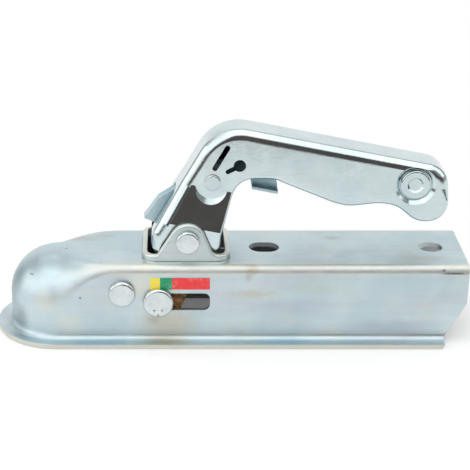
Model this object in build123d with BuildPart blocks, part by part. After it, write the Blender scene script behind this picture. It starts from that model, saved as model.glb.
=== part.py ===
"""Trailer coupling head for a 50 mm ball: pressed housing, ball jaw, locking slide, lever and safety catch.

Millimetres. The origin is the centre of the ball socket, +X runs back to the drawbar and +Z is up.
"""

import os
from math import cos, hypot, pi, radians, sin, tan

from build123d import *

os.makedirs("parts", exist_ok=True)

# Ball and pressed housing
BALL_R = 25.0
BALL_GAP = 0.5  # ball to the crown of the nose
SHEET = 3.0
HOUSING_W = 58.0
HOUSING_H = 49.5
REAR_X = 242.0
CROWN_FLAT_R = 1.5  # flat top of the nose
BEND_R = 4.5  # outer bend radius of the channel
BLEND_L = 40.0  # length over which the nose edge runs out to the channel bend
BLEND_STEPS = 8
BLEND_START = 1.3  # how softly the blend leaves the nose
BLEND_END = 3.0  # how softly it ends in the channel
SKIRT_H = 12.0  # height of the flared foot of the wall
FLANGE_W = 8.4
FLANGE_FILLET = 4.0
REAR_CUT_H = 25.8  # slanted rear end of the side walls
REAR_CUT_L = 14.2

WALL_Y = HOUSING_W / 2
INNER_Y = WALL_Y - SHEET
CROWN_R = WALL_Y - CROWN_FLAT_R  # outer edge radius of the nose
FLOOR_Z = BALL_R + BALL_GAP + SHEET - HOUSING_H
TOP_Z = FLOOR_Z + HOUSING_H
CEILING_Z = TOP_Z - SHEET
SKIRT_Z = FLOOR_Z + SKIRT_H
PAST = 5.0  # how far a cutter runs past the face that it cuts
FLAT = 0.05  # how far a wall's normal may lean

# Drawbar bolt holes in the top
BOLT_HOLE_R = 7.0
BOLT_SPACING = 100.0
BOLT_SLOT_L = 18.0
REAR_BOLT_X = 223.7

# Lever pivot
LEVER_X = 77.4
LEVER_RISE = 13.2  # pivot above the housing top
LEVER_Z = TOP_Z + LEVER_RISE
LEVER_PIN_R = 5.0
LEVER_PIN_HEAD_R = 7.0
LEVER_PIN_HEAD_T = 2.5

# Upturned collar round the lever opening, and its two ears
COLLAR_FRONT_X = LEVER_X - 23.6
COLLAR_L = 45.7
COLLAR_HALF_W = 20.2
COLLAR_CORNER_R = 5.0
COLLAR_FILLET = 1.2
LIP_H = 4.6
EAR_R = 10.7
EAR_FOOT_L = 33.0
EAR_FOOT_SHIFT = 1.4  # foot of the ear ahead of the pivot
EAR_ROOT_R = 5.0
RIM_R = 1.2  # rounded outer edge of the collar and ears
EAR_Y = COLLAR_HALF_W + SHEET

# Jaw pivot and indicator pin
JAW_X = 38.9
JAW_DROP = 16.9  # pivot below the housing top
JAW_Z = TOP_Z - JAW_DROP
JAW_PIN_R = 6.0
JAW_PIN_HEAD_R = 8.0
JAW_PIN_HEAD_T = 3.2
SLIDE_X = 60.2
SLIDE_DROP = 22.4  # indicator pin below the housing top
SLIDE_Z = TOP_Z - SLIDE_DROP
SLIDE_PIN_R = 5.0
SLIDE_HEAD_R = 9.0
SLIDE_HEAD_T = 3.0
PUNCH_MARKS = ((-2.35, -4.1), (2.35, -4.1), (0, -7.3))  # on the head, from its centre
PUNCH_R = 0.7
PUNCH_DEPTH = 0.4
WINDOW_END_X = 90.6
WINDOW_CORNER_R = 3.5

# Fits
RUN_GAP = 0.05  # radial play of a turning shaft
SEAT_GAP = 0.02  # radial play of a riveted shaft
SIDE_GAP = 0.15  # play beside a turning or sliding piece
SLIDE_GAP = 0.4  # play of the indicator pin in its windows
FORK_GAP = 0.6  # play of the indicator pin in the lever's forks
BALL_RUN = 0.5  # jaw face to the ball
SLOT_GAP = 0.4  # play beside the forks in the wedge

# Ends of the pins
HEAD_ROUND = 0.55  # edge radius of a turned head, as a share of its thickness
WASHER_T = 1.5
WASHER_RIM = 3.0
RIVET_RIM = 1.6
RIVET_T = 2.0

# Lever: a folded channel, sizes from its pivot
LEVER_T = 2.5
GRIP_HALF_W = 13.0
CHEEK_HALF_W = 18.4
LEVER_BEND_R = 5.5
LEG_ANGLE = 60.3
GRIP_ANGLE = -11.26
SHOULDER = (16.5, 68.1)
SHOULDER_R = 26.5
LEVER_FRONT = -21.2
LEVER_FOOT = -12.0
GRIP_END = 152.2
GRIP_END_R = 14.0
LOBE_BOTTOM = 8.6
LOBE_R = 11.5
FINGER_EDGE = [(139.9, 8.6), (124.1, 16.9), (112.2, 20.0), (94.0, 18.6), (77.1, 23.8)]
FINGER_EDGE += [(53.5, 33.8), (42.0, 35.3)]
CROTCH = (28.9, 35.3)
CROTCH_R = 13.0
LEG_REAR_KNEE = (19.6, 1.3)
LEG_REAR_FOOT = (18.6, LEVER_FOOT)
FOOT_R = 9.0
KNEE_R = 12.0
PLATE_EDGE_R = 1.6  # rounded free edges of the side plates
RUNOUT_L = 9.0  # length over which the web's bend runs out at the end of the grip
RUNOUT_R = 0.5

# Step in the lever's side plates, from the grip's width out to the width at the pivot
STEP_TOP = 32.4  # upper edge of the step, above the pivot
STEP_FOOT = 7.5  # lower edge
STEP_FALL = 0.2  # slope of both edges, down to the rear
STEP_REACH = 30.0  # half length of the step's sketches, past the leg's edges
PAD_R = 10.1  # flat round the catch rivet, pressed back into the step
PAD_FLARE = 1.5  # slope of the pad's edge

# Window in the front web for the pawl
PAWL_WINDOW_HALF_W = 4.8
PAWL_WINDOW_TOP = 26.9

# Forks that move the indicator pin
FORK_HALF_W = 10.0
FORK_TIP = 5.7  # prongs past the pin's centre

# Holes and dish in the side plates
LOCK_SLOT = ((15.7, 42.1), (22.8, 54.6))
LOCK_SLOT_W = 3.1
KEYHOLE = (30.0, 43.7)
KEYHOLE_R = 3.6
KEY_SLOT_END = (23.2, 40.0)
KEY_SLOT_W = 2.8
DISH = (132.4, 31.5)
DISH_R = 12.0
DISH_SEAT_R = 9.3
DISH_DEPTH = 2.0
GRIP_RIVET_R = 5.0
GRIP_RIVET_HEAD_R = 8.8
GRIP_RIVET_HEAD_T = 1.8
GRIP_DIMPLE_R = 4.7
GRIP_DIMPLE_DEPTH = 1.0
DIMPLE_TAPER = 45.0

# Safety catch, sizes from the lever pivot
CATCH = (14.4, 33.4)
CATCH_PIN_R = 4.0
CATCH_HEAD_R = 4.8
CATCH_HEAD_T = 1.3
CATCH_HUB_R = 8.0
CATCH_T = 1.5
CATCH_HALF_W = 4.0
PAWL_NECK = (-4.2, 25.8)
PAWL_HEEL = (-7.8, 25.6)
PAWL_SHOULDER = (-17.0, 19.7)
PAWL_TIP = (-25.5, 7.5)
PAWL_TOE = (-16.9, 3.6)
PAWL_INNER = (-5.0, 18.4)
TAB_FRONT = 37.6
TAB_REAR = 52.6
TAB_TOP = 45.0
TAB_BOTTOM = 27.5
TAB_NECK = 37.0
TAB_SHOULDER = 4.6
TAB_BEVEL = 2.2
TAB_T = 1.6
TAB_HALF_W = 8.5

CATCH_SPACER_R = 6.5
GRIP_SPACER_R = 7.0
LEVER_SLEEVE_R = 6.8
LEVER_WASHER_R = 9.0

# Springs
LEVER_WIRE_R = 0.9
LEVER_COIL_R = 8.2
LEVER_COIL_TURNS = 2.25
LEVER_COIL_PITCH = 2.1
LEVER_COIL_Y = 8.3
SPRING_LEAN = 3.2  # end of the upright leg below the slanted web
SPRING_SEAT = 0.3  # end of a spring leg to the face that it bears on
CATCH_WIRE_R = 0.5
CATCH_COIL_R = 4.85
CATCH_COIL_TURNS = 2 + (LEG_ANGLE + 90) / 360  # the last leg points straight forward
CATCH_COIL_PITCH = 1.12
CATCH_LEG = 12.4

# Ball jaw and locking wedge
JAW_HALF_W = 15.3
JAW_HUB_R = 9.5
JAW_LIP_Z = -13.0
JAW_LIP_X = 31.0
JAW_HEEL_X = 50.4
JAW_HEEL_TOP_Z = 16.0
JAW_HEEL_BOTTOM_Z = 1.0
JAW_BROW_X = 28.0
JAW_BROW_Z = 17.5
JAW_FRONT_X = 20.0  # inside the ball's clearance
JAW_CHIN_Z = 6.0
JAW_EDGE_R = 1.5
WEDGE_FRONT_GAP = 0.4  # jaw heel to the wedge's nose
WEDGE_TOP = 6.3  # above the indicator pin
WEDGE_REAR_TOP_X = 78.2
WEDGE_REAR_BOTTOM_X = 70.2
WEDGE_BRIDGE_T = 4.0
WEDGE_EDGE_R = 1.2

# Indicator label on the near wall
LABEL_X = 55.4
LABEL_L = 35.1
LABEL_H = 7.5
LABEL_BOTTOM_Z = 14.1
LABEL_T = 0.2

PIVOT = Plane(origin=(LEVER_X, 0, LEVER_Z), x_dir=(1, 0, 0), z_dir=(0, -1, 0))
NEAR_GRIP = PIVOT.offset(GRIP_HALF_W)

# Lines of the lever that several of its forms share
leg_slope = tan(radians(LEG_ANGLE))
LEG_DIR = Vector(cos(radians(LEG_ANGLE)), 0, sin(radians(LEG_ANGLE)))
LEG_INWARD = Vector(LEG_DIR.Z, 0, -LEG_DIR.X)
FRONT_KNEE = (LEVER_FRONT, SHOULDER[1] - (SHOULDER[0] - LEVER_FRONT) * leg_slope)
GRIP_CORNER = (GRIP_END, SHOULDER[1] + (GRIP_END - SHOULDER[0]) * tan(radians(GRIP_ANGLE)))
LOBE_TOP = LOBE_BOTTOM + LOBE_R
BEND_MARGIN = 1.0
fork_dir = Vector(SLIDE_X - LEVER_X, 0, SLIDE_Z - LEVER_Z)
FORK_L = fork_dir.length + FORK_TIP
FORK = Plane(origin=PIVOT.origin, x_dir=fork_dir, z_dir=(0, -1, 0))


def arch(x, half_w, top, edge_r):
    """One closed cross-section of the housing above its skirt."""
    with BuildSketch(Plane.YZ.offset(x)) as section:
        with Locations((0, (SKIRT_Z + top) / 2)):
            Rectangle(2 * half_w, top - SKIRT_Z)
        fillet(section.vertices().group_by(Axis.Y)[-1], edge_r)
    return section.sketch


def crown(half_w, top, edge_r):
    """Half profile of the nose above its skirt, to be turned about the ball's upright axis."""
    with BuildSketch(Plane.YZ) as section:
        with Locations((half_w / 2, (SKIRT_Z + top) / 2)):
            Rectangle(half_w, top - SKIRT_Z)
        fillet(section.vertices().sort_by_distance((half_w, top))[0], edge_r)
    return section.sketch


def hull_form(half_w, top, thinner):
    """Nose, blend and channel as one solid, with its edge radii smaller by the given amount."""
    sections = []
    for step in range(BLEND_STEPS + 1):
        share = (step / BLEND_STEPS) ** BLEND_START
        left = (1 - share**BLEND_START) ** BLEND_END
        edge_r = BEND_R + (CROWN_R - BEND_R) * left - thinner
        sections.append(arch(BLEND_L * share, half_w, top, edge_r))
    with BuildPart() as form:
        loft(sections)
        extrude(sections[-1], amount=REAR_X - BLEND_L)
        revolve(crown(half_w, top, CROWN_R - thinner), axis=Axis.Z, revolution_arc=180)
    return form.part


def skirt_profile():
    """Foot of the side wall: it flares out to the flat bottom flange."""
    with BuildSketch(Plane.YZ) as profile:
        with BuildLine():
            Polyline(
                (INNER_Y, FLOOR_Z),
                (WALL_Y + FLANGE_W, FLOOR_Z),
                (WALL_Y + FLANGE_W, FLOOR_Z + SHEET),
                (WALL_Y, FLOOR_Z + SHEET),
                (WALL_Y, SKIRT_Z),
                (INNER_Y, SKIRT_Z),
                close=True,
            )
        make_face()
        fillet(profile.vertices().sort_by_distance((WALL_Y, FLOOR_Z + SHEET))[0], FLANGE_FILLET)
        fillet(profile.vertices().sort_by_distance((INNER_Y, FLOOR_Z))[0], FLANGE_FILLET + SHEET)
    return profile.sketch


def cross_pin(x, z, shaft_r, head_r, head_t, near_y, far_y):
    """Pin along Y with a turned head on the near side and a riveted head on the far side."""
    near = Plane((x, near_y, z), z_dir=(0, 1, 0))
    with BuildPart() as pin:
        with BuildSketch(near):
            Circle(shaft_r)
        extrude(amount=far_y - near_y)
        with BuildSketch(near):
            Circle(head_r)
        extrude(amount=-head_t)
        fillet(pin.edges().group_by(Axis.Y)[0], head_t * HEAD_ROUND)
        with BuildSketch(near.offset(far_y - near_y)):
            Circle(shaft_r + RIVET_RIM)
        extrude(amount=RIVET_T)
        fillet(pin.edges().group_by(Axis.Y)[-1], RIVET_T / 3)
    return pin.part


def ring(x, y, z, outer_r, inner_r, length):
    """Washer or tube along Y, from y to y + length."""
    with BuildPart() as piece:
        with BuildSketch(Plane((x, y, z), z_dir=(0, 1, 0))):
            Circle(outer_r)
            Circle(inner_r, mode=Mode.SUBTRACT)
        extrude(amount=length)
    return piece.part


def ring_pair(x, near_y, z, outer_r, inner_r, length):
    """Two like rings, mirrored about the middle plane."""
    near = ring(x, near_y, z, outer_r, inner_r, length)
    return Compound(children=[near, mirror(near, about=Plane.XZ)])


def torsion_spring(plane, coil_r, pitch, turns, wire_r, first_leg, last_leg):
    """Coil about the plane's normal with two straight legs that leave it along its tangents."""
    slope = pitch / (2 * pi * coil_r)
    end_angle = turns * 2 * pi
    radial = Vector(cos(end_angle), sin(end_angle), 0)
    tangent = Vector(-sin(end_angle), cos(end_angle), slope)
    coil_end = radial * coil_r + Vector(0, 0, pitch * turns)
    with BuildPart() as spring:
        with BuildLine() as path:
            Line((coil_r, -first_leg, -first_leg * slope), (coil_r, 0, 0))
            Helix(pitch=pitch, height=pitch * turns, radius=coil_r)
            Line(coil_end, coil_end + tangent * last_leg)
        with BuildSketch(Plane(origin=path.line @ 0, z_dir=path.line % 0)):
            Circle(wire_r)
        sweep(is_frenet=True)
    return plane.from_local_coords(spring.part)


def leg_front(height):
    """Point of the lever's slanted front edge at a height above the pivot."""
    return (SHOULDER[0] - (SHOULDER[1] - height) / leg_slope, height)


def step_crossing(height):
    """Point where an edge of the step, given by its height at the pivot, meets the slanted front edge."""
    u = leg_front(height)[0] / (1 + STEP_FALL / leg_slope)
    return (u, height - STEP_FALL * u)


def shared_edges(faces, others):
    """Edges that lie between two groups of faces."""
    return [edge for edge in faces.edges() if edge in others.edges()]


def round_corners(outline, corners):
    """Fillets the given corners of an outline, each with its own radius."""
    for corner, radius in corners:
        fillet(outline.vertices().sort_by_distance(corner)[0], radius)


def lever_outline():
    """Side view of the lever."""
    front_foot = (LEVER_FRONT, LEVER_FOOT)
    lobe_corner = (GRIP_END, LOBE_BOTTOM)
    with BuildSketch(PIVOT) as outline:
        with BuildLine():
            Polyline(front_foot, FRONT_KNEE, SHOULDER, GRIP_CORNER, lobe_corner, FINGER_EDGE[0])
            Spline(*FINGER_EDGE, tangents=[(-1, 0), (-1, 0)])
            Polyline(FINGER_EDGE[-1], CROTCH, LEG_REAR_KNEE, LEG_REAR_FOOT, front_foot)
        make_face()
        round_corners(outline, [(SHOULDER, SHOULDER_R), (GRIP_CORNER, GRIP_END_R), (lobe_corner, LOBE_R)])
        round_corners(outline, [(FRONT_KNEE, KNEE_R), (LEG_REAR_KNEE, KNEE_R), (CROTCH, CROTCH_R)])
        round_corners(outline, [(front_foot, FOOT_R), (LEG_REAR_FOOT, FOOT_R)])
    return outline.sketch


def web_strip():
    """Side view of the web that joins the two plates over their front and top edges."""
    with BuildSketch(PIVOT) as strip:
        with BuildLine() as edge:
            Polyline((LEVER_FRONT, LEVER_FOOT - PAST), FRONT_KNEE, SHOULDER, GRIP_CORNER)
            Line(GRIP_CORNER, (GRIP_END, LOBE_TOP))
            round_corners(edge, [(FRONT_KNEE, KNEE_R), (SHOULDER, SHOULDER_R), (GRIP_CORNER, GRIP_END_R)])
            offset(amount=LEVER_T, side=Side.RIGHT)
        make_face()
    return strip.sketch


def step_form(inset):
    """Near cheek of the lever, stepped out from the grip's width, with the pad of the catch rivet."""
    low = LEVER_FOOT - PAST
    drop = STEP_FALL * STEP_REACH
    step_out = CHEEK_HALF_W - GRIP_HALF_W
    pad_r = PAD_R + inset * (hypot(1, PAD_FLARE) - PAD_FLARE)
    near = PIVOT.offset(GRIP_HALF_W - inset)
    with BuildPart() as form:
        for depth in (-2 * PLATE_EDGE_R, step_out):
            height = STEP_TOP + (STEP_FOOT - STEP_TOP) * depth / step_out
            with BuildSketch(near.offset(depth)):
                with BuildLine():
                    Polyline(
                        (-STEP_REACH, low),
                        (-STEP_REACH, height + drop),
                        (STEP_REACH, height - drop),
                        (STEP_REACH, low),
                        close=True,
                    )
                make_face()
        loft(ruled=True)
        for depth in (0, step_out):
            with BuildSketch(near.offset(depth)):
                with Locations(CATCH):
                    Circle(pad_r + PAD_FLARE * depth)
        loft(ruled=True, mode=Mode.SUBTRACT)
    return form.part


def bend_section(point, half_w, inward, along, depth, radius):
    """Sharp corner that a bend leaves out, in a plane across the near edge of the web."""
    low = depth if depth > 0 else -BEND_MARGIN
    origin = PIVOT.offset(half_w).from_local_coords(Vector(*point))
    with BuildSketch(Plane(origin=origin, x_dir=inward, z_dir=along)) as section:
        with Locations(((low + radius) / 2, (low + radius) / 2)):
            Rectangle(radius - low, radius - low)
        with Locations((radius, radius)):
            Circle(radius - depth, mode=Mode.SUBTRACT)
    return section.sketch


def bend_corner(depth):
    """Sharp corner that the near bend leaves out, all along the web, at a depth in the sheet."""
    step_top = step_crossing(STEP_TOP)
    step_foot = step_crossing(STEP_FOOT)
    foot = (LEVER_FRONT, LEVER_FOOT - PAST)
    with BuildLine() as upper:
        Polyline(step_top, SHOULDER, GRIP_CORNER, (GRIP_END, LOBE_TOP + RUNOUT_L))
        round_corners(upper, [(SHOULDER, SHOULDER_R), (GRIP_CORNER, GRIP_END_R)])
    with BuildLine() as lower:
        Polyline(foot, FRONT_KNEE, step_foot)
        round_corners(lower, [(FRONT_KNEE, KNEE_R)])
    top_section = bend_section(step_top, GRIP_HALF_W, LEG_INWARD, LEG_DIR, depth, LEVER_BEND_R)
    step_section = bend_section(step_foot, CHEEK_HALF_W, LEG_INWARD, LEG_DIR, depth, LEVER_BEND_R)
    foot_section = bend_section(foot, CHEEK_HALF_W, (1, 0, 0), (0, 0, 1), depth, LEVER_BEND_R)
    with BuildPart() as corner:
        sweep(top_section, path=NEAR_GRIP.from_local_coords(upper.wire()))
        loft([step_section, top_section], ruled=True)
        sweep(foot_section, path=PIVOT.offset(CHEEK_HALF_W).from_local_coords(lower.wire()))
    return corner.part


# Collar and ears, closed until their outer edges are rounded
with BuildPart() as collar:
    collar_centre = COLLAR_FRONT_X + COLLAR_L / 2
    lip_z = TOP_Z + LIP_H
    with BuildSketch(Plane.XZ) as ear_side:
        with Locations((LEVER_X, LEVER_Z)):
            Circle(EAR_R)
        with Locations((LEVER_X - EAR_FOOT_SHIFT, TOP_Z + LIP_H / 2)):
            Rectangle(EAR_FOOT_L, LIP_H)
        make_hull()
        with Locations((collar_centre, TOP_Z + LIP_H / 2)):
            Rectangle(COLLAR_L + 2 * EAR_Y, LIP_H)
        fillet(ear_side.vertices().sort_by_distance((LEVER_X, lip_z))[:2], EAR_ROOT_R)
    extrude(amount=2 * EAR_Y, both=True)
    with BuildSketch(Plane.XY.offset(TOP_Z)):
        with Locations((collar_centre, 0)):
            RectangleRounded(COLLAR_L + 2 * SHEET, 2 * EAR_Y, COLLAR_CORNER_R + SHEET)
    extrude(amount=LEVER_RISE + 2 * EAR_R, mode=Mode.INTERSECT)
    walls = collar.faces().filter_by(lambda face: abs(face.normal_at().Z) < FLAT)
    tops = collar.faces().filter_by(lambda face: face.normal_at().Z > FLAT)
    fillet(shared_edges(tops, walls), RIM_R)
    with BuildSketch(Plane.XY.offset(TOP_Z)):
        with Locations((collar_centre, 0)):
            RectangleRounded(COLLAR_L, 2 * COLLAR_HALF_W, COLLAR_CORNER_R)
    extrude(amount=LEVER_RISE + 2 * EAR_R, mode=Mode.SUBTRACT)

# Housing: one pressed sheet
with BuildPart() as housing:
    add(hull_form(WALL_Y, TOP_Z, 0))
    add(hull_form(INNER_Y, CEILING_Z, SHEET), mode=Mode.SUBTRACT)
    foot = skirt_profile()
    revolve(foot, axis=Axis.Z, revolution_arc=180)
    straight = extrude(foot, amount=REAR_X)
    mirror(straight, about=Plane.XZ)

    # Slanted rear end of the walls
    with BuildSketch(Plane.XZ):
        with BuildLine():
            Polyline(
                (REAR_X, FLOOR_Z + REAR_CUT_H),
                (REAR_X - REAR_CUT_L, FLOOR_Z),
                (REAR_X - REAR_CUT_L, FLOOR_Z - PAST),
                (REAR_X + PAST, FLOOR_Z - PAST),
                (REAR_X + PAST, FLOOR_Z + REAR_CUT_H),
                close=True,
            )
        make_face()
    extrude(amount=HOUSING_W, both=True, mode=Mode.SUBTRACT)

    # Collar round the lever opening
    add(collar.part)
    with BuildSketch(Plane.XY.offset(CEILING_Z)):
        with Locations((collar_centre, 0)):
            RectangleRounded(COLLAR_L, 2 * COLLAR_HALF_W, COLLAR_CORNER_R)
    extrude(amount=SHEET, mode=Mode.SUBTRACT)
    collar_edges = housing.edges().filter_by_position(
        Axis.X, COLLAR_FRONT_X - SHEET, COLLAR_FRONT_X + COLLAR_L + SHEET
    )
    fillet(collar_edges.filter_by_position(Axis.Z, TOP_Z, TOP_Z), COLLAR_FILLET)
    opening_edges = housing.edges().filter_by_position(
        Axis.X, COLLAR_FRONT_X, COLLAR_FRONT_X + COLLAR_L
    )
    inside_edges = opening_edges.filter_by_position(Axis.Y, -COLLAR_HALF_W, COLLAR_HALF_W)
    fillet(inside_edges.filter_by_position(Axis.Z, CEILING_Z, CEILING_Z), SHEET)

    # Drawbar bolt holes
    with BuildSketch(Plane.XY.offset(CEILING_Z)):
        with Locations((REAR_BOLT_X, 0)):
            Circle(BOLT_HOLE_R)
        with Locations((REAR_BOLT_X - BOLT_SPACING, 0)):
            SlotOverall(BOLT_SLOT_L, 2 * BOLT_HOLE_R)
    extrude(amount=SHEET, mode=Mode.SUBTRACT)

    # Pin holes and indicator windows
    window_start = SLIDE_X - SLIDE_PIN_R - SLIDE_GAP
    window_h = 2 * (SLIDE_PIN_R + SLIDE_GAP)
    with BuildSketch(Plane.XZ):
        with Locations((LEVER_X, LEVER_Z)):
            Circle(LEVER_PIN_R + SEAT_GAP)
        with Locations((JAW_X, JAW_Z)):
            Circle(JAW_PIN_R + SEAT_GAP)
        with Locations(((window_start + WINDOW_END_X) / 2, SLIDE_Z)):
            RectangleRounded(WINDOW_END_X - window_start, window_h, WINDOW_CORNER_R)
    extrude(amount=HOUSING_W, both=True, mode=Mode.SUBTRACT)
housing.part.label = "housing"
export_step(housing.part, "parts/housing.step")

# Lever: inside form, then the folded sheet
with BuildPart() as lever_inside:
    with BuildSketch(PIVOT):
        Rectangle(4 * GRIP_END, 4 * GRIP_END)
    extrude(amount=GRIP_HALF_W - LEVER_T, both=True)
    cheek = step_form(LEVER_T)
    add(cheek)
    mirror(cheek, about=Plane.XZ)
    extrude(web_strip(), amount=CHEEK_HALF_W, both=True, mode=Mode.SUBTRACT)
    inner_corner = bend_corner(LEVER_T)
    add(inner_corner, mode=Mode.SUBTRACT)
    mirror(inner_corner, about=Plane.XZ, mode=Mode.SUBTRACT)

with BuildPart() as lever_plates:
    extrude(lever_outline(), amount=GRIP_HALF_W, both=True)
    fillet(lever_plates.faces().filter_by(Axis.Y).edges(), PLATE_EDGE_R)

with BuildPart() as lever_cheek:
    add(step_form(0))
    extrude(lever_outline(), amount=2 * CHEEK_HALF_W, both=True, mode=Mode.INTERSECT)
    sides = lever_cheek.faces().filter_by(lambda face: abs(face.normal_at().Y) < FLAT)
    near_faces = lever_cheek.faces().filter_by(lambda face: face.normal_at().Y < FLAT - 1)
    fillet(shared_edges(near_faces, sides), PLATE_EDGE_R)

with BuildPart() as lever_runout:
    runout_start = (GRIP_END, LOBE_TOP + RUNOUT_L)
    runout_end = (GRIP_END, LOBE_TOP)
    loft(
        [
            bend_section(runout_start, GRIP_HALF_W, (-1, 0, 0), (0, 0, -1), 0, LEVER_BEND_R),
            bend_section(runout_end, GRIP_HALF_W, (-1, 0, 0), (0, 0, -1), 0, RUNOUT_R),
        ],
        ruled=True,
    )

with BuildPart() as lever:
    add(lever_plates.part)
    add(lever_cheek.part)
    mirror(lever_cheek.part, about=Plane.XZ)
    outer_corner = bend_corner(0)
    for corner in (outer_corner, lever_runout.part):
        add(corner, mode=Mode.SUBTRACT)
        mirror(corner, about=Plane.XZ, mode=Mode.SUBTRACT)
    add(lever_inside.part, mode=Mode.SUBTRACT)

    # Window in the front web, where the pawl comes through
    with BuildSketch(PIVOT):
        with BuildLine():
            Polyline(
                (-STEP_REACH, LEVER_FOOT - PAST),
                (-STEP_REACH, PAWL_WINDOW_TOP),
                (leg_front(PAWL_WINDOW_TOP)[0] + PAST, PAWL_WINDOW_TOP),
                (LEVER_FRONT + PAST, FRONT_KNEE[1]),
                (LEVER_FRONT + PAST, LEVER_FOOT - PAST),
                close=True,
            )
        make_face()
    extrude(amount=PAWL_WINDOW_HALF_W, both=True, mode=Mode.SUBTRACT)

    # Forks down to the indicator pin
    with BuildSketch(FORK.offset(CHEEK_HALF_W)):
        with Locations((FORK_L / 2, 0)):
            Rectangle(FORK_L, 2 * FORK_HALF_W)
        with Locations((LEVER_Z - SLIDE_Z, 0)):
            Circle(SLIDE_PIN_R + FORK_GAP, mode=Mode.SUBTRACT)
        with Locations((LEVER_Z - SLIDE_Z + FORK_L / 2, 0)):
            Rectangle(FORK_L, 2 * (SLIDE_PIN_R + FORK_GAP), mode=Mode.SUBTRACT)
    fork = extrude(amount=-LEVER_T)
    mirror(fork, about=Plane.XZ)

    # Dishes for the grip rivet, pressed in from both sides
    with BuildSketch(NEAR_GRIP.offset(-LEVER_T)):
        with Locations(DISH):
            Circle(DISH_R)
    bump = extrude(amount=-DISH_DEPTH)
    mirror(bump, about=Plane.XZ)
    with BuildSketch(NEAR_GRIP):
        with Locations(DISH):
            Circle(DISH_R)
    with BuildSketch(NEAR_GRIP.offset(-DISH_DEPTH)):
        with Locations(DISH):
            Circle(DISH_SEAT_R)
    dish = loft(ruled=True, mode=Mode.SUBTRACT)
    mirror(dish, about=Plane.XZ, mode=Mode.SUBTRACT)

    # Pin and rivet holes through both plates
    with BuildSketch(PIVOT):
        Circle(LEVER_PIN_R + RUN_GAP)
        with Locations(CATCH):
            Circle(CATCH_PIN_R + SEAT_GAP)
        with Locations(DISH):
            Circle(GRIP_RIVET_R + SEAT_GAP)
    extrude(amount=2 * CHEEK_HALF_W, both=True, mode=Mode.SUBTRACT)

    # Slot and keyhole in the near plate
    with BuildSketch(NEAR_GRIP):
        for start, end, width in ((*LOCK_SLOT, LOCK_SLOT_W), (KEYHOLE, KEY_SLOT_END, KEY_SLOT_W)):
            middle = ((start[0] + end[0]) / 2, (start[1] + end[1]) / 2)
            SlotCenterPoint(middle, end, width)
        with Locations(KEYHOLE):
            Circle(KEYHOLE_R)
    extrude(amount=-LEVER_T - PAST, mode=Mode.SUBTRACT)
lever.part.label = "lever"
export_step(lever.part, "parts/lever.step")

# Lever pivot
with BuildPart() as lever_pin:
    far_y = EAR_Y + WASHER_T
    add(cross_pin(LEVER_X, LEVER_Z, LEVER_PIN_R, LEVER_PIN_HEAD_R, LEVER_PIN_HEAD_T, -EAR_Y, far_y))
lever_pin.part.label = "lever_pin"
export_step(lever_pin.part, "parts/lever_pin.step")

with BuildPart() as lever_pin_washer:
    add(ring(LEVER_X, EAR_Y, LEVER_Z, LEVER_PIN_R + WASHER_RIM, LEVER_PIN_R + SEAT_GAP, WASHER_T))
lever_pin_washer.part.label = "lever_pin_washer"
export_step(lever_pin_washer.part, "parts/lever_pin_washer.step")

with BuildPart() as lever_washers:
    washer_t = COLLAR_HALF_W - CHEEK_HALF_W - SIDE_GAP
    add(ring_pair(LEVER_X, -COLLAR_HALF_W, LEVER_Z, LEVER_WASHER_R, LEVER_PIN_R + SEAT_GAP, washer_t))
lever_washers.part.label = "lever_washers"
export_step(lever_washers.part, "parts/lever_washers.step")

with BuildPart() as lever_sleeve:
    sleeve_half_l = CHEEK_HALF_W - LEVER_T - SIDE_GAP
    add(ring(LEVER_X, -sleeve_half_l, LEVER_Z, LEVER_SLEEVE_R, LEVER_PIN_R + SEAT_GAP, 2 * sleeve_half_l))
lever_sleeve.part.label = "lever_sleeve"
export_step(lever_sleeve.part, "parts/lever_sleeve.step")

with BuildPart() as lever_spring:
    coil_plane = Plane((LEVER_X, -LEVER_COIL_Y, LEVER_Z), x_dir=(-1, 0, 0), z_dir=(0, -1, 0))
    lip_leg = COLLAR_FRONT_X + COLLAR_L - LEVER_X - SPRING_SEAT
    web_leg = FRONT_KNEE[1] + (-LEVER_COIL_R - LEVER_FRONT) * leg_slope - LEVER_T / LEG_DIR.X - SPRING_LEAN
    add(
        torsion_spring(
            coil_plane, LEVER_COIL_R, LEVER_COIL_PITCH, LEVER_COIL_TURNS, LEVER_WIRE_R, web_leg, lip_leg
        )
    )
lever_spring.part.label = "lever_spring"
export_step(lever_spring.part, "parts/lever_spring.step")

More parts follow.
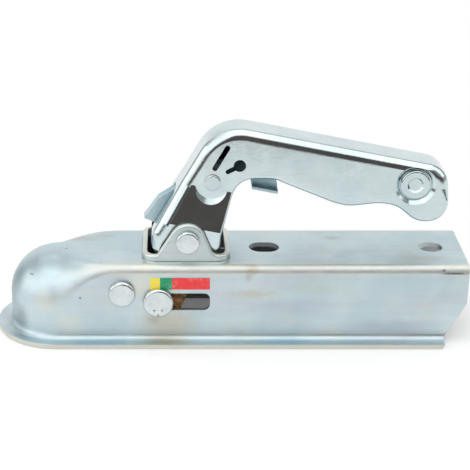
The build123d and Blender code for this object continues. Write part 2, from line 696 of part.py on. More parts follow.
# Safety catch: two plates joined by a front web and a finger pad
with BuildPart() as safety_catch:
    brow = (CATCH[0] - CATCH_HUB_R, CATCH[1] + CATCH_HUB_R / 2)
    tab_bottom_rear = TAB_BOTTOM + (TAB_REAR - TAB_FRONT) * tan(radians(GRIP_ANGLE))
    with BuildSketch(PIVOT.offset(CATCH_HALF_W)):
        with BuildLine():
            Polyline(
                brow,
                PAWL_NECK,
                PAWL_HEEL,
                PAWL_SHOULDER,
                PAWL_TIP,
                PAWL_TOE,
                PAWL_INNER,
                (CATCH[0], CATCH[1] - CATCH_HUB_R),
                (TAB_FRONT, TAB_NECK),
                (TAB_FRONT, TAB_BOTTOM),
                (TAB_REAR, tab_bottom_rear),
                (TAB_REAR, tab_bottom_rear + TAB_SHOULDER),
                (TAB_REAR - TAB_BEVEL, TAB_NECK),
                (TAB_REAR - TAB_BEVEL, TAB_TOP),
                (CATCH[0], CATCH[1] + CATCH_HUB_R),
                close=True,
            )
        make_face()
    plate = extrude(amount=-CATCH_T)
    mirror(plate, about=Plane.XZ)
    with BuildSketch(PIVOT):
        with BuildLine():
            Polyline(brow, PAWL_NECK, PAWL_HEEL, PAWL_SHOULDER, PAWL_TIP)
            offset(amount=CATCH_T, side=Side.LEFT)
        make_face()
    extrude(amount=CATCH_HALF_W, both=True)
    with BuildSketch(PIVOT):
        with BuildLine():
            Line((TAB_FRONT, TAB_BOTTOM), (TAB_REAR, tab_bottom_rear))
            offset(amount=TAB_T, side=Side.LEFT)
        make_face()
    extrude(amount=TAB_HALF_W, both=True)
    with BuildSketch(PIVOT):
        with Locations(CATCH):
            Circle(CATCH_PIN_R + RUN_GAP)
    extrude(amount=2 * CATCH_HALF_W, both=True, mode=Mode.SUBTRACT)
safety_catch.part.label = "safety_catch"
export_step(safety_catch.part, "parts/safety_catch.step")

catch_x = LEVER_X + CATCH[0]
catch_z = LEVER_Z + CATCH[1]
with BuildPart() as catch_pin:
    add(cross_pin(catch_x, catch_z, CATCH_PIN_R, CATCH_HEAD_R, CATCH_HEAD_T, -GRIP_HALF_W, GRIP_HALF_W))
catch_pin.part.label = "catch_pin"
export_step(catch_pin.part, "parts/catch_pin.step")

with BuildPart() as catch_spacers:
    plate_y = GRIP_HALF_W - LEVER_T
    spacer_l = plate_y - CATCH_HALF_W - SIDE_GAP
    add(ring_pair(catch_x, -plate_y, catch_z, CATCH_SPACER_R, CATCH_PIN_R + SEAT_GAP, spacer_l))
catch_spacers.part.label = "catch_spacers"
export_step(catch_spacers.part, "parts/catch_spacers.step")

with BuildPart() as catch_spring:
    coil_start_y = -CATCH_COIL_PITCH * CATCH_COIL_TURNS / 2
    coil_plane = Plane((catch_x, coil_start_y, catch_z), x_dir=LEG_DIR, z_dir=(0, 1, 0))
    to_leg = (Vector(CATCH[0], 0, CATCH[1]) - Vector(SHOULDER[0], 0, SHOULDER[1])).dot(LEG_INWARD)
    front_leg = to_leg - LEVER_T - SPRING_SEAT
    add(
        torsion_spring(
            coil_plane, CATCH_COIL_R, CATCH_COIL_PITCH, CATCH_COIL_TURNS, CATCH_WIRE_R, front_leg, CATCH_LEG
        )
    )
catch_spring.part.label = "catch_spring"
export_step(catch_spring.part, "parts/catch_spring.step")

# Rivet and spacer at the end of the grip
grip_x = LEVER_X + DISH[0]
grip_z = LEVER_Z + DISH[1]
seat_y = GRIP_HALF_W - DISH_DEPTH
with BuildPart() as grip_rivet:
    add(cross_pin(grip_x, grip_z, GRIP_RIVET_R, GRIP_RIVET_HEAD_R, GRIP_RIVET_HEAD_T, -seat_y, seat_y))
    with BuildSketch(Plane((grip_x, -seat_y - GRIP_RIVET_HEAD_T, grip_z), z_dir=(0, 1, 0))):
        Circle(GRIP_DIMPLE_R)
    extrude(amount=GRIP_DIMPLE_DEPTH, taper=DIMPLE_TAPER, mode=Mode.SUBTRACT)
grip_rivet.part.label = "grip_rivet"
export_step(grip_rivet.part, "parts/grip_rivet.step")

with BuildPart() as grip_spacer:
    bump_y = seat_y - LEVER_T
    add(ring(grip_x, -bump_y, grip_z, GRIP_SPACER_R, GRIP_RIVET_R + SEAT_GAP, 2 * bump_y))
grip_spacer.part.label = "grip_spacer"
export_step(grip_spacer.part, "parts/grip_spacer.step")

# Ball jaw on its pin
with BuildPart() as jaw:
    with BuildSketch(Plane.XZ) as jaw_side:
        with BuildLine():
            Polyline(
                (JAW_FRONT_X, JAW_LIP_Z),
                (JAW_LIP_X, JAW_LIP_Z),
                (JAW_HEEL_X, JAW_HEEL_BOTTOM_Z),
                (JAW_HEEL_X, JAW_HEEL_TOP_Z),
                (JAW_X, JAW_Z + JAW_HUB_R),
                (JAW_BROW_X, JAW_BROW_Z),
                (JAW_FRONT_X, JAW_CHIN_Z),
                close=True,
            )
        make_face()
        fillet(jaw_side.vertices().filter_by_position(Axis.X, JAW_BROW_X, JAW_HEEL_X), JAW_EDGE_R)
        with Locations((JAW_X, JAW_Z)):
            Circle(JAW_PIN_R + RUN_GAP, mode=Mode.SUBTRACT)
    extrude(amount=JAW_HALF_W, both=True)
    Sphere(BALL_R + BALL_RUN, mode=Mode.SUBTRACT)
jaw.part.label = "jaw"
export_step(jaw.part, "parts/jaw.step")

with BuildPart() as jaw_pin:
    add(cross_pin(JAW_X, JAW_Z, JAW_PIN_R, JAW_PIN_HEAD_R, JAW_PIN_HEAD_T, -WALL_Y, WALL_Y + WASHER_T))
jaw_pin.part.label = "jaw_pin"
export_step(jaw_pin.part, "parts/jaw_pin.step")

with BuildPart() as jaw_pin_washer:
    add(ring(JAW_X, WALL_Y, JAW_Z, JAW_PIN_R + WASHER_RIM, JAW_PIN_R + SEAT_GAP, WASHER_T))
jaw_pin_washer.part.label = "jaw_pin_washer"
export_step(jaw_pin_washer.part, "parts/jaw_pin_washer.step")

with BuildPart() as jaw_spacers:
    spacer_l = INNER_Y - JAW_HALF_W - SIDE_GAP
    add(ring_pair(JAW_X, -INNER_Y, JAW_Z, JAW_PIN_R + WASHER_RIM, JAW_PIN_R + SEAT_GAP, spacer_l))
jaw_spacers.part.label = "jaw_spacers"
export_step(jaw_spacers.part, "parts/jaw_spacers.step")

# Locking wedge behind the jaw, slotted for the lever's forks, and its indicator pin
with BuildPart() as locking_wedge:
    wedge_front = JAW_HEEL_X + WEDGE_FRONT_GAP
    wedge_top = SLIDE_Z + WEDGE_TOP
    slot_floor = LEVER_Z - hypot(FORK_L, FORK_HALF_W) - SLOT_GAP
    wedge_bottom = slot_floor - WEDGE_BRIDGE_T
    with BuildSketch(Plane.XZ) as wedge_side:
        with BuildLine():
            Polyline(
                (wedge_front, wedge_bottom),
                (wedge_front, wedge_top),
                (WEDGE_REAR_TOP_X, wedge_top),
                (WEDGE_REAR_BOTTOM_X, wedge_bottom),
                close=True,
            )
        make_face()
        fillet(wedge_side.vertices(), WEDGE_EDGE_R)
        with Locations((SLIDE_X, SLIDE_Z)):
            Circle(SLIDE_PIN_R + SEAT_GAP, mode=Mode.SUBTRACT)
    extrude(amount=INNER_Y - SLOT_GAP, both=True)
    with BuildSketch(Plane.XY.offset(slot_floor)):
        for side in (-1, 1):
            with Locations((SLIDE_X, side * (CHEEK_HALF_W - LEVER_T / 2))):
                Rectangle(2 * FORK_L, LEVER_T + 2 * SLOT_GAP)
    extrude(amount=wedge_top - slot_floor + PAST, mode=Mode.SUBTRACT)
locking_wedge.part.label = "locking_wedge"
export_step(locking_wedge.part, "parts/locking_wedge.step")

head_y = WALL_Y + SLIDE_GAP
with BuildPart() as indicator_pin:
    add(cross_pin(SLIDE_X, SLIDE_Z, SLIDE_PIN_R, SLIDE_HEAD_R, SLIDE_HEAD_T, -head_y, head_y + WASHER_T))
    with BuildSketch(Plane((SLIDE_X, -head_y - SLIDE_HEAD_T, SLIDE_Z), x_dir=(1, 0, 0), z_dir=(0, -1, 0))):
        with Locations(*PUNCH_MARKS):
            Circle(PUNCH_R)
    extrude(amount=-PUNCH_DEPTH, mode=Mode.SUBTRACT)
indicator_pin.part.label = "indicator_pin"
export_step(indicator_pin.part, "parts/indicator_pin.step")

with BuildPart() as indicator_washer:
    add(ring(SLIDE_X, head_y, SLIDE_Z, SLIDE_PIN_R + WASHER_RIM, SLIDE_PIN_R + SEAT_GAP, WASHER_T))
indicator_washer.part.label = "indicator_washer"
export_step(indicator_washer.part, "parts/indicator_washer.step")

with BuildPart() as indicator_label:
    with BuildSketch(Plane.XZ.offset(WALL_Y)):
        with Locations((LABEL_X + LABEL_L / 2, LABEL_BOTTOM_Z + LABEL_H / 2)):
            Rectangle(LABEL_L, LABEL_H)
    extrude(amount=LABEL_T)
indicator_label.part.label = "indicator_label"
export_step(indicator_label.part, "parts/indicator_label.step")
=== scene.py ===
"""Looks of the trailer coupling head: zinc plate, rusty castings, label, studio and camera."""

from math import radians

import bpy
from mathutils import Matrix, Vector


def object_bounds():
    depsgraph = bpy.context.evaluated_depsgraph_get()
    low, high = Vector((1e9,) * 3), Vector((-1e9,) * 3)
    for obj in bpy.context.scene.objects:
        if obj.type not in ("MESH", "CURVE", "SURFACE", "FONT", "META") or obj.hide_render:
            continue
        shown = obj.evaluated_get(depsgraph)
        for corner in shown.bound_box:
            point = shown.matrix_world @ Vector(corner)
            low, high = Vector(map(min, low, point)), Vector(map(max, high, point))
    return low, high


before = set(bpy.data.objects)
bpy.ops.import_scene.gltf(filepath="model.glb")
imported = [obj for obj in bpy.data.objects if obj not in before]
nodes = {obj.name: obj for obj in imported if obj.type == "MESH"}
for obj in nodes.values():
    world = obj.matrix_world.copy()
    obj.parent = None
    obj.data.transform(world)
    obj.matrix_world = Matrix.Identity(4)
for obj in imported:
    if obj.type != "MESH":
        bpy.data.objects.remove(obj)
cad_low, cad_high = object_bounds()
scene = bpy.context.scene
scene.view_settings.view_transform = "Standard"

FLOAT, VECTOR = "NodeSocketFloat", "NodeSocketVector"
WHITE = (1.0, 1.0, 1.0, 1.0)


class Nodes:
    """Short hand for a node tree: adds nodes, sets their inputs and links them."""

    def __init__(self, tree):
        self.tree = tree

    def add(self, kind, inputs=None, **settings):
        node = self.tree.nodes.new(kind)
        for name, value in settings.items():
            setattr(node, name, value)
        for key, value in (inputs or {}).items():
            socket = node.inputs[key]
            if isinstance(value, bpy.types.NodeSocket):
                self.tree.links.new(value, socket)
            else:
                socket.default_value = value
        return node

    def group(self, tree, **inputs):
        """Places a shared effect with its own values."""
        return self.add("ShaderNodeGroup", inputs, node_tree=tree).outputs[0]

    def math(self, operation, first, second=0.0):
        return self.add("ShaderNodeMath", {0: first, 1: second}, operation=operation).outputs[0]

    def product(self, first, *others):
        for other in others:
            first = self.math("MULTIPLY", first, other)
        return first

    def ramp(self, value, start, end, low=0.0, high=1.0):
        """Smooth step of a value, from low at start to high at end."""
        steps = {"Value": value, "From Min": start, "From Max": end, "To Min": low, "To Max": high}
        node = self.add("ShaderNodeMapRange", steps, interpolation_type="SMOOTHSTEP")
        return node.outputs["Result"]

    def vector(self, operation, first, second):
        inputs = {0: first, 1: second}
        return self.add("ShaderNodeVectorMath", inputs, operation=operation).outputs

    def noise(self, place, scale, **inputs):
        values = {"Vector": place, "Scale": scale, **inputs}
        return self.add("ShaderNodeTexNoise", values).outputs["Fac"]

    def mix(self, share, first, second):
        """Colour between two colours."""
        colours = {"Factor": share, 6: first, 7: second}
        return self.add("ShaderNodeMix", colours, data_type="RGBA").outputs[2]

    def layer(self, colour, mask, strength, over):
        """Colour with another one laid over it where the mask is."""
        return self.mix(self.math("MULTIPLY", mask, strength), colour, over)


def rgb(red, green, blue):
    """Colour as painted, from 0 to 255, for a colour socket."""
    levels = [part / 255 for part in (red, green, blue)]
    linear = [v / 12.92 if v <= 0.04045 else ((v + 0.055) / 1.055) ** 2.4 for v in levels]
    return (*linear, 1.0)


# Effects that several finishes share


def new_group(name, inputs, output):
    """Starts a shared effect: its tree, a builder, its input sockets and the place on the piece."""
    tree = bpy.data.node_groups.new(name, "ShaderNodeTree")
    for socket, kind in inputs:
        tree.interface.new_socket(socket, in_out="INPUT", socket_type=kind)
    tree.interface.new_socket(output, in_out="OUTPUT", socket_type=FLOAT)
    build = Nodes(tree)
    place = build.add("ShaderNodeTexCoord").outputs["Object"]
    return tree, build, build.add("NodeGroupInput").outputs, place


def end_group(build, value):
    build.add("NodeGroupOutput", {0: value})


def make_blotches():
    """Soft irregular patches."""
    sockets = [("Scale", FLOAT), ("Start", FLOAT), ("End", FLOAT)]
    tree, build, inputs, place = new_group("blotches", sockets, "Mask")
    patches = build.noise(place, inputs["Scale"], Detail=5.0, Roughness=0.6)
    end_group(build, build.ramp(patches, inputs["Start"], inputs["End"]))
    return tree


def make_streaks():
    """Fine marks that rolling and drawing leave, stretched along one direction."""
    sockets = [("Stretch", VECTOR), ("Start", FLOAT), ("End", FLOAT)]
    tree, build, inputs, place = new_group("streaks", sockets, "Mask")
    stretched = build.vector("MULTIPLY", place, inputs["Stretch"])["Vector"]
    marks = build.noise(stretched, 1.0, Detail=3.0, Roughness=0.6)
    end_group(build, build.ramp(marks, inputs["Start"], inputs["End"]))
    return tree


def make_soft_patch():
    """One soft patch at a place on the surface, with a ragged edge: used for stains, for painted
    shade and as a place mask.
    """
    sockets = [("Centre", VECTOR), ("Reach", VECTOR), ("Ragged", FLOAT)]
    tree, build, inputs, place = new_group("soft_patch", sockets, "Mask")
    away = build.vector("SUBTRACT", place, inputs["Centre"])["Vector"]
    share = build.vector("DIVIDE", away, inputs["Reach"])["Vector"]
    distance = build.add("ShaderNodeVectorMath", {0: share}, operation="LENGTH").outputs["Value"]
    uneven = build.math("SUBTRACT", build.noise(place, 420.0, Detail=4.0, Roughness=0.65), 0.5)
    swing = build.math("MULTIPLY", uneven, inputs["Ragged"])
    end_group(build, build.ramp(build.math("ADD", distance, swing), 1.0, 0.1))
    return tree


def make_grain():
    """Fine uneven skin of the plating, as a height."""
    sockets = [("Scale", FLOAT), ("Coarse", FLOAT)]
    tree, build, inputs, place = new_group("grain", sockets, "Height")
    fine = build.noise(place, inputs["Scale"], Detail=2.0)
    coarse = build.math("MULTIPLY", build.noise(place, 160.0, Detail=2.0), inputs["Coarse"])
    end_group(build, build.math("ADD", fine, coarse))
    return tree


blotches, streaks, soft_patch, grain = make_blotches(), make_streaks(), make_soft_patch(), make_grain()


# Steps that every finish takes


def new_material(name):
    material = bpy.data.materials.new(name)
    material.use_nodes = True
    material.node_tree.nodes.clear()
    return material, Nodes(material.node_tree)


def axes(build, kind):
    """X, Y and Z of a coordinate: Object is the place on the piece, Normal the way it faces."""
    coordinate = build.add("ShaderNodeTexCoord").outputs[kind]
    return build.add("ShaderNodeSeparateXYZ", {"Vector": coordinate}).outputs


def patchy(build, scale, first, second, start=0.35, end=0.65):
    """Two colours in soft patches."""
    return build.mix(build.group(blotches, Scale=scale, Start=start, End=end), first, second)


def uneven_roughness(build, mask, smooth, spread):
    return build.math("ADD", build.math("MULTIPLY", mask, spread), smooth)


def worn_roughness(build, scale, smooth, spread):
    """Roughness that handling has left in patches."""
    worn = build.group(blotches, Scale=scale, Start=0.35, End=0.7)
    return uneven_roughness(build, worn, smooth, spread)


def add_stains_and_shade(build, colour, stain_and_shade_list, ragged):
    """Lays stains and painted shade over a colour; their places are in millimetres."""
    for centre, reach, laid_colour, strength in stain_and_shade_list:
        middle, size = ([part / 1000 for part in parts] for parts in (centre, reach))
        mask = build.group(soft_patch, Centre=middle, Reach=size, Ragged=ragged)
        colour = build.layer(colour, mask, strength, laid_colour)
    return colour


def finish_surface(
    build, colour, roughness, height, strength, distance, metallic=1.0, edge_round=0.0
):
    """Ends a material with its colour, roughness and grain, and softens its edges if asked."""
    relief = {"Height": height, "Strength": strength, "Distance": distance}
    if edge_round:
        edges = build.add("ShaderNodeBevel", {"Radius": edge_round}, samples=8)
        relief["Normal"] = edges.outputs["Normal"]
    bump = build.add("ShaderNodeBump", relief)
    inputs = {
        "Base Color": colour,
        "Roughness": roughness,
        "Metallic": metallic,
        "Normal": bump.outputs["Normal"],
    }
    shader = build.add("ShaderNodeBsdfPrincipled", inputs)
    build.add("ShaderNodeOutputMaterial", {"Surface": shader.outputs[0]})


# Housing: its tints and stains, each with centre and reach in millimetres, colour and strength; the
# grey-blue shade tints on the nose and at its foot are painted shade
CREAM, TAN, BROWN = rgb(230, 226, 208), rgb(196, 186, 164), rgb(168, 148, 128)
BLUE, PAINTED_SHADE, DARK = rgb(150, 186, 206), rgb(128, 142, 148), rgb(84, 90, 90)
VIOLET, GREEN = rgb(172, 178, 196), rgb(196, 206, 190)
TINT_RAGGED, STAIN_RAGGED = 0.3, 1.2
TINTS = [
    ((66, -29, -8), (25, 5, 18), TAN, 0.6),
    ((64, -33, -18), (22, 8, 6), TAN, 0.6),
    ((49, -29, 17), (12, 5, 12), CREAM, 0.6),
    ((-6, -28, 6), (12, 8, 10), CREAM, 0.4),
    ((8, -29, -9), (14, 5, 12), CREAM, 0.3),
    ((200, -29, -9), (40, 4, 6), VIOLET, 0.4),
    ((140, -29, 3), (40, 4, 8), VIOLET, 0.3),
    ((152, -29, 15), (22, 4, 7), GREEN, 0.35),
    ((140, -34, -18), (70, 5, 3), BLUE, 0.5),
    ((20, -35, -18), (30, 6, 3), BLUE, 0.4),
    # Painted shade: darker grey-blue on the nose and at its foot
    ((-22, -19, -10), (10, 10, 14), PAINTED_SHADE, 0.6),
    ((-28, -8, 4), (10, 18, 34), PAINTED_SHADE, 0.5),
    ((-23, -12, 15), (8, 10, 12), PAINTED_SHADE, 0.4),
    ((-2, -15, 25.5), (15, 7, 7), PAINTED_SHADE, 0.45),
]
STAINS = [
    ((14, 13, 28), (15, 6, 6), BROWN, 0.3),
    ((28, 17, 28), (10, 5, 5), BROWN, 0.22),
    ((166, 14, 28), (8, 5, 5), BROWN, 0.3),
    ((216, -16, 28), (22, 5, 5), TAN, 0.4),
    ((53, -25, 28), (8, 4, 6), CREAM, 0.8),
    ((103, -25, 28), (8, 4, 6), CREAM, 0.7),
    ((115, -27, 26), (6, 5, 6), TAN, 0.6),
    ((113, -29, 22), (2.5, 2, 4), BROWN, 0.4),
    ((116, -29, 11), (24, 3, 4), TAN, 0.5),
    ((58, -29, -5.5), (5, 3, 5), BROWN, 0.4),
    ((234, -29, 24.3), (11, 1.5, 1.2), DARK, 0.85),
    ((227, -28, 26), (1.6, 1.5, 1.2), DARK, 0.8),
    ((5.1, -2.2, 28.5), (1.1, 0.9, 2), DARK, 0.85),
    ((29, -5.9, 28.5), (1.0, 0.9, 2), DARK, 0.5),
    ((26.6, -21.7, 28.5), (1.2, 0.8, 2), DARK, 0.35),
    ((14.2, -29, 8.6), (1.0, 1.5, 1.0), DARK, 0.8),
    ((-14.9, -17.1, 18.6), (3.4, 2.4, 0.8), DARK, 0.7),
]

# Housing: where its tints start and where they are full, in metres along, across and up
BEND_HEIGHT, BEND_ACROSS, BEND_ALONG = (0.0215, 0.0255), (0.0225, 0.0245), (0.0, 0.03)
FLANGE_EDGE_HEIGHT = (-0.0176, -0.0184)
COLLAR_HEIGHT = (0.029, 0.031)
COLLAR_FOOT_LOW, COLLAR_FOOT_HIGH = (0.0286, 0.0289), (0.0302, 0.0296)
INSIDE_POINT = -0.03  # height, below the open underside, that the inside surfaces face
INSIDE = (-0.001, -0.005)
# Painted light: the inside gets lighter between these places along, towards the open rear end
REAR_PAINTED_LIGHT = (0.16, 0.225)
SEAM_ALONG, SEAM_HEIGHT = (0.018, 0.004), (-0.012, 0.002)
EDGE_ROUND, SEAM_ROUND = 0.0007, 0.009

# Housing: the same for the way its surface faces, off the ends, the level and the sides
OFF_END_FACE, OFF_LEVEL, OFF_SIDE = (0.6, 0.2), (0.5, 0.2), (0.95, 0.75)


def make_housing_zinc():
    material, build = new_material("housing_zinc")
    place, facing = axes(build, "Object"), axes(build, "Normal")
    across = build.math("ABSOLUTE", place["Y"])
    end_on, side_on, level = (build.math("ABSOLUTE", facing[axis]) for axis in "XYZ")

    colour = patchy(build, scale=26.0, first=rgb(193, 212, 217), second=rgb(206, 220, 223))
    drawn = build.group(streaks, Stretch=(14.0, 300.0, 420.0), Start=0.42, End=0.62)
    colour = build.layer(colour, drawn, 0.14, rgb(172, 198, 208))
    rosy = build.group(streaks, Stretch=(12.0, 45.0, 60.0), Start=0.5, End=0.66)
    colour = build.layer(colour, rosy, 0.4, rgb(196, 200, 210))
    warm = build.group(blotches, Scale=40.0, Start=0.54, End=0.72)
    colour = build.layer(colour, warm, 0.3, rgb(214, 214, 202))
    # Painted highlight: a warm cream tone along the bends between the top and the side walls
    bend = build.product(
        build.ramp(place["Z"], *BEND_HEIGHT),
        build.ramp(across, *BEND_ACROSS),
        build.ramp(place["X"], *BEND_ALONG),
        build.ramp(end_on, *OFF_END_FACE),
    )
    colour = build.layer(colour, bend, 0.55, rgb(231, 226, 213))
    colour = add_stains_and_shade(build, colour, TINTS, TINT_RAGGED)
    colour = add_stains_and_shade(build, colour, STAINS, STAIN_RAGGED)
    flange_edge = build.product(
        build.ramp(place["Z"], *FLANGE_EDGE_HEIGHT), build.ramp(level, *OFF_LEVEL)
    )
    colour = build.layer(colour, flange_edge, 0.7, rgb(216, 211, 194))
    collar_rim = build.product(
        build.ramp(place["Z"], *COLLAR_HEIGHT), build.ramp(side_on, *OFF_SIDE)
    )
    colour = build.layer(colour, collar_rim, 0.65, rgb(234, 231, 218))
    # Painted shade in the concave foot of the collar
    collar_foot_shade = build.product(
        build.ramp(place["Z"], *COLLAR_FOOT_LOW), build.ramp(place["Z"], *COLLAR_FOOT_HIGH)
    )
    colour = build.layer(colour, collar_foot_shade, 0.6, rgb(140, 154, 160))

    # Inside: surfaces that face the space under the channel and the nose, grey and not metallic,
    # and lighter towards the open rear end as painted light
    ahead = build.product(build.math("MINIMUM", place["X"], 0.0), facing["X"])
    aside = build.product(place["Y"], facing["Y"])
    above = build.product(build.math("SUBTRACT", place["Z"], INSIDE_POINT), facing["Z"])
    outward = build.math("ADD", build.math("ADD", ahead, aside), above)
    inside = build.ramp(outward, *INSIDE)
    inside_colour = build.mix(build.ramp(place["X"], *REAR_PAINTED_LIGHT), rgb(150, 156, 158), rgb(205, 211, 213))
    colour = build.mix(inside, colour, inside_colour)

    roughness = worn_roughness(build, scale=90.0, smooth=0.4, spread=0.08)
    roughness = build.math("ADD", roughness, build.math("MULTIPLY", bend, 0.08))
    near_seam = build.ramp(build.math("ABSOLUTE", place["X"]), *SEAM_ALONG)
    seam = build.product(near_seam, build.ramp(place["Z"], *SEAM_HEIGHT))
    finish_surface(
        build,
        colour,
        roughness,
        height=build.group(grain, Scale=1100.0, Coarse=0.6),
        strength=0.12,
        distance=0.0004,
        metallic=build.math("SUBTRACT", 1.0, inside),
        edge_round=build.ramp(seam, 0.0, 1.0, EDGE_ROUND, SEAM_ROUND),
    )
    return material


# Lever: places of its tints in metres, and the ways its surface faces there
DISH_PLACE, DISH_REACH = (0.215, -0.012, 0.0748), (0.03, 0.03, 0.016)
CROOK_PLACE, CROOK_REACH = (0.094, -0.011, 0.102), (0.012, 0.02, 0.012)
CROOK_FACING = (0.4, 0.55)
UNDERSIDE = (-0.05, -0.6)
BETWEEN_PLATES = (-0.001, -0.005)
ARM_START, ARM_END, ARM_ROUND = (0.1, 0.125), (0.2, 0.188), 0.0019


def make_lever_zinc():
    material, build = new_material("lever_zinc")
    place, facing = axes(build, "Object"), axes(build, "Normal")
    colour = patchy(build, scale=32.0, first=rgb(198, 213, 216), second=rgb(212, 224, 226))
    warm = build.group(blotches, Scale=60.0, Start=0.58, End=0.75)
    colour = build.layer(colour, warm, 0.3, rgb(216, 214, 206))
    drawn = build.group(streaks, Stretch=(60.0, 300.0, 420.0), Start=0.5, End=0.66)
    colour = build.layer(colour, drawn, 0.15, rgb(176, 198, 206))
    # Painted dark reflection: downward-facing surfaces darker teal, except in the dish around the
    # grip rivet
    dish = build.group(soft_patch, Centre=DISH_PLACE, Reach=DISH_REACH, Ragged=0.0)
    underside_reflection = build.product(build.ramp(facing["Z"], *UNDERSIDE), build.math("SUBTRACT", 1.0, dish))
    colour = build.layer(colour, underside_reflection, 0.7, rgb(140, 172, 180))
    # Painted shade: faces between the two side plates are nearly black
    inward = build.product(place["Y"], facing["Y"])
    colour = build.mix(build.ramp(inward, *BETWEEN_PLATES), colour, rgb(24, 33, 36))

    roughness = worn_roughness(build, scale=120.0, smooth=0.13, spread=0.06)
    crook = build.group(soft_patch, Centre=CROOK_PLACE, Reach=CROOK_REACH, Ragged=0.0)
    crook = build.product(crook, build.ramp(facing["Z"], *CROOK_FACING))
    roughness = build.math("ADD", roughness, build.math("MULTIPLY", crook, 0.3))
    arm = build.product(build.ramp(place["X"], *ARM_START), build.ramp(place["X"], *ARM_END))
    finish_surface(
        build,
        colour,
        roughness,
        height=build.group(grain, Scale=800.0, Coarse=0.1),
        strength=0.07,
        distance=0.0003,
        edge_round=build.math("MULTIPLY", arm, ARM_ROUND),
    )
    return material


# Catch: places of its tints, in metres along, across and up
PAWL_START, PAWL_END = (0.056, 0.068), (0.085, 0.078)
TAB_ALONG, TAB_LIP = (0.1, 0.105), (0.0078, 0.007)
KEYHOLE_ALONG, KEYHOLE_HEIGHT = (0.098, 0.101), (0.0722, 0.0765)


def make_catch_zinc():
    material, build = new_material("catch_zinc")
    place = axes(build, "Object")
    across = build.math("ABSOLUTE", place["Y"])
    colour = patchy(build, scale=40.0, first=rgb(186, 214, 223), second=rgb(208, 225, 230))
    # Painted shade: a darker blue band across the pawl, next to the lever
    pawl = build.product(build.ramp(place["X"], *PAWL_START), build.ramp(place["X"], *PAWL_END))
    colour = build.layer(colour, pawl, 0.45, rgb(120, 172, 190))
    # Painted dark reflection: the middle of the finger tab darker teal
    tab = build.product(build.ramp(place["X"], *TAB_ALONG), build.ramp(across, *TAB_LIP))
    colour = build.layer(colour, tab, 0.4, rgb(132, 190, 202))
    # Painted shade: the catch darkened where it shows through the lever's keyhole
    keyhole_shade = build.product(
        build.ramp(place["X"], *KEYHOLE_ALONG), build.ramp(place["Z"], *KEYHOLE_HEIGHT)
    )
    colour = build.layer(colour, keyhole_shade, 0.85, rgb(72, 90, 98))
    roughness = worn_roughness(build, scale=120.0, smooth=0.5, spread=0.08)
    skin = build.group(grain, Scale=1300.0, Coarse=0.5)
    finish_surface(build, colour, roughness, skin, strength=0.06, distance=0.0003)
    return material


# Indicator pin: its punch marks darkened, whose places along and up are in millimetres
PUNCH_MARKS = (57.9, 2.0), (62.5, 2.0), (60.2, -1.2)
PUNCH_RAGGED = 0.6
PUNCH_DARKENING = [((x, -32, z), (1.0, 1.5, 0.7), DARK, 0.9) for x, z in PUNCH_MARKS]


def make_head_zinc():
    material, build = new_material("head_zinc")
    colour = patchy(build, 110.0, rgb(203, 212, 213), rgb(216, 222, 222), start=0.38, end=0.62)
    spots = build.group(blotches, Scale=900.0, Start=0.62, End=0.74)
    colour = build.layer(colour, spots, 0.3, rgb(178, 190, 196))
    colour = add_stains_and_shade(build, colour, PUNCH_DARKENING, PUNCH_RAGGED)
    roughness = worn_roughness(build, scale=150.0, smooth=0.22, spread=0.08)
    skin = build.group(grain, Scale=1100.0, Coarse=0.8)
    finish_surface(build, colour, roughness, skin, strength=0.2, distance=0.0004)
    return material


def make_rusty_casting():
    material, build = new_material("rusty_casting")
    colour = patchy(build, 300.0, rgb(84, 60, 36), rgb(148, 102, 58), start=0.38, end=0.6)
    dark = build.group(blotches, Scale=420.0, Start=0.46, End=0.6)
    colour = build.layer(colour, dark, 0.6, rgb(52, 44, 34))
    inside_colour = build.group(blotches, Scale=70.0, Start=0.58, End=0.72)
    colour = build.layer(colour, inside_colour, 0.6, rgb(118, 108, 100))
    roughness = uneven_roughness(build, inside_colour, smooth=0.85, spread=-0.3)
    skin = build.group(grain, Scale=700.0, Coarse=1.2)
    metallic = build.math("MULTIPLY", inside_colour, 0.5)
    finish_surface(build, colour, roughness, skin, strength=0.6, distance=0.0008, metallic=metallic)
    return material


def make_spring_wire():
    material, build = new_material("spring_wire")
    colour = patchy(build, 300.0, rgb(120, 122, 124), rgb(84, 86, 90), start=0.4, end=0.65)
    drawn = build.group(blotches, Scale=500.0, Start=0.4, End=0.7)
    roughness = uneven_roughness(build, drawn, smooth=0.25, spread=0.15)
    skin = build.group(grain, Scale=2000.0, Coarse=0.3)
    finish_surface(build, colour, roughness, skin, strength=0.1, distance=0.0002)
    return material


# Label: borders of its colour fields along the housing
YELLOW_TO_GREEN, GREEN_TO_RED = (0.0611, 0.0614), (0.0682, 0.0686)


def make_label_print():
    """Three plain fields side by side, a little faded and scuffed."""
    material, build = new_material("label_print")
    place = axes(build, "Object")
    yellow, green, red = rgb(238, 220, 78), rgb(14, 146, 100), rgb(230, 54, 58)
    colour = build.mix(build.ramp(place["X"], *YELLOW_TO_GREEN), yellow, green)
    colour = build.mix(build.ramp(place["X"], *GREEN_TO_RED), colour, red)
    faded = build.group(blotches, Scale=220.0, Start=0.5, End=0.75)
    colour = build.layer(colour, faded, 0.22, rgb(232, 214, 206))
    roughness = uneven_roughness(build, faded, smooth=0.38, spread=0.15)
    skin = build.group(grain, Scale=900.0, Coarse=0.5)
    finish_surface(build, colour, roughness, skin, strength=0.08, distance=0.0002, metallic=0.0)
    return material


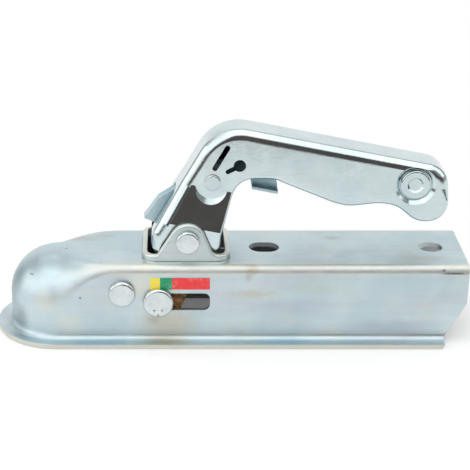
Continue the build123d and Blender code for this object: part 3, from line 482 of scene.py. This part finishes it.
# Finish of each piece: the housing's zinc, unless it has one of its own
finish = dict.fromkeys(nodes, make_housing_zinc())
finish.update(dict.fromkeys(("jaw_pin", "lever_pin", "indicator_pin"), make_head_zinc()))
finish.update(dict.fromkeys(("lever", "grip_rivet", "catch_pin"), make_lever_zinc()))
finish["safety_catch"] = make_catch_zinc()
finish.update(dict.fromkeys(("jaw", "locking_wedge"), make_rusty_casting()))
finish.update(dict.fromkeys(("lever_spring", "catch_spring"), make_spring_wire()))
finish["indicator_label"] = make_label_print()
for name, piece in nodes.items():
    piece.data.materials.clear()
    piece.data.materials.append(finish[name])


# Floor: paper that ends between the part and the camera
PART_MIDDLE = (0.1, 0.0, cad_low.z)
FLOOR_PLACE, FLOOR_SIZE = (0.1, 1.62, cad_low.z), (6, 4, 1)
SHADOW_END, WHITE_START = 0.13, 0.3  # distance from the middle of the part
WHITE_AT_PART = 0.12


def make_paper():
    """White paper: keeps the shadow near the part, and is plain white further out."""
    material, build = new_material("floor_paper")
    colour = patchy(build, 4.0, rgb(250, 250, 250), rgb(252, 252, 252), start=0.3, end=0.7)
    paper = build.add("ShaderNodeBsdfPrincipled", {"Base Color": colour, "Roughness": 0.9})
    white = build.add("ShaderNodeEmission", {"Color": WHITE, "Strength": 1.0})
    spot = build.add("ShaderNodeNewGeometry").outputs["Position"]
    away = build.vector("DISTANCE", spot, PART_MIDDLE)["Value"]
    path = build.add("ShaderNodeLightPath").outputs
    mirrored = build.math("MAXIMUM", path["Is Glossy Ray"], path["Is Transmission Ray"])
    seen = build.math("MAXIMUM", path["Is Camera Ray"], mirrored)
    share = build.product(seen, build.ramp(away, SHADOW_END, WHITE_START, WHITE_AT_PART, 1.0))
    shader = build.add("ShaderNodeMixShader", {0: share, 1: paper.outputs[0], 2: white.outputs[0]})
    build.add("ShaderNodeOutputMaterial", {"Surface": shader.outputs[0]})
    return material


bpy.ops.mesh.primitive_plane_add(size=1, location=FLOOR_PLACE)
floor = bpy.context.object
floor.name = "floor"
floor.scale = FLOOR_SIZE
floor.data.materials.append(make_paper())

# Room: white backdrop, dark side behind the camera, dim walls between. The pairs are directions
# over which one goes over into the next.
WALL_GREY, DARK_GREY = (0.34, 0.34, 0.34, 1), (0.1, 0.082, 0.076, 1)
CAMERA_SIDE, HORIZON = (-0.3, -0.45), (0.16, 0.08)
DARK_LEFT, DARK_RIGHT, DARK_TOP = (-0.3, -0.12), (0.9, 0.6), (0.64, 0.54)
BACKDROP_SIDE, BACKDROP_TOP = (0.6, 0.75), (0.86, 0.74)

world = bpy.data.worlds.new("studio")
scene.world = world
world.use_nodes = True
world.node_tree.nodes.clear()
room = Nodes(world.node_tree)
towards = axes(room, "Generated")
sideways = room.math("DIVIDE", towards["X"], room.math("MULTIPLY", towards["Y"], -1.0))
dark_screen = room.product(
    room.ramp(sideways, *DARK_LEFT),
    room.ramp(sideways, *DARK_RIGHT),
    room.ramp(towards["Z"], *DARK_TOP),
)
dark_screen = room.math("MAXIMUM", dark_screen, room.ramp(towards["Z"], *HORIZON))
dark_side = room.product(room.ramp(towards["Y"], *CAMERA_SIDE), dark_screen)
walls = room.mix(dark_side, WALL_GREY, DARK_GREY)
backdrop = room.product(
    room.ramp(towards["Y"], *BACKDROP_SIDE), room.ramp(towards["Z"], *BACKDROP_TOP)
)
view = room.mix(backdrop, walls, WHITE)
view = room.mix(room.add("ShaderNodeLightPath").outputs["Is Camera Ray"], view, WHITE)
light = room.add("ShaderNodeBackground", {"Color": view, "Strength": 1.0})
room.add("ShaderNodeOutputWorld", {"Surface": light.outputs[0]})

# Lamps: place, point they face, width and height in metres, and watts; the fill is not mirrored
SOFTBOXES = {
    "overhead_softbox": ((0.1, -0.3, 1.25), (0.1, -0.3001, 0), (1.9, 2.0), 14.3),
    "left_softbox": ((-1.1, 0.0, 0.37), (0, 0, 0.05), (0.88, 0.63), 2.0),
    "front_left_softbox": ((-0.805, -0.833, 0.59), (0, 0, 0), (1.56, 1.15), 5.9),
    "right_softbox": ((1.07, -0.09, 0.62), (0.15, 0, 0.05), (0.8, 0.84), 2.2),
    "front_fill": ((0.05, -1.0, 0.35), (0.1, 0, 0), (0.8, 0.6), 1.3),
}
for name, (place, target, size, watts) in SOFTBOXES.items():
    lamp = bpy.data.lights.new(name, "AREA")
    lamp.shape = "RECTANGLE"
    lamp.size, lamp.size_y = size
    lamp.energy = watts
    stand = bpy.data.objects.new(name, lamp)
    stand.location = place
    stand.rotation_euler = (Vector(target) - Vector(place)).to_track_quat("-Z", "Y").to_euler()
    stand.visible_glossy = name != "front_fill"
    scene.collection.objects.link(stand)

# Camera: the picture's side, the focal length and the shift are in pixels of the picture
PICTURE, FOCAL, SHIFT = 470, 1427, (70, -6)
CAMERA_PLACE, CAMERA_TILT = (0.0642, -0.7842, 0.3759), 23.17

camera = bpy.data.cameras.new("camera")
camera.sensor_width = 36
camera.sensor_fit = "HORIZONTAL"
camera.lens = camera.sensor_width * FOCAL / PICTURE
camera.shift_x, camera.shift_y = (part / PICTURE for part in SHIFT)
tripod = bpy.data.objects.new("camera", camera)
tripod.location = CAMERA_PLACE
tripod.rotation_euler = (radians(90 - CAMERA_TILT), 0, 0)
scene.collection.objects.link(tripod)
scene.camera = tripod
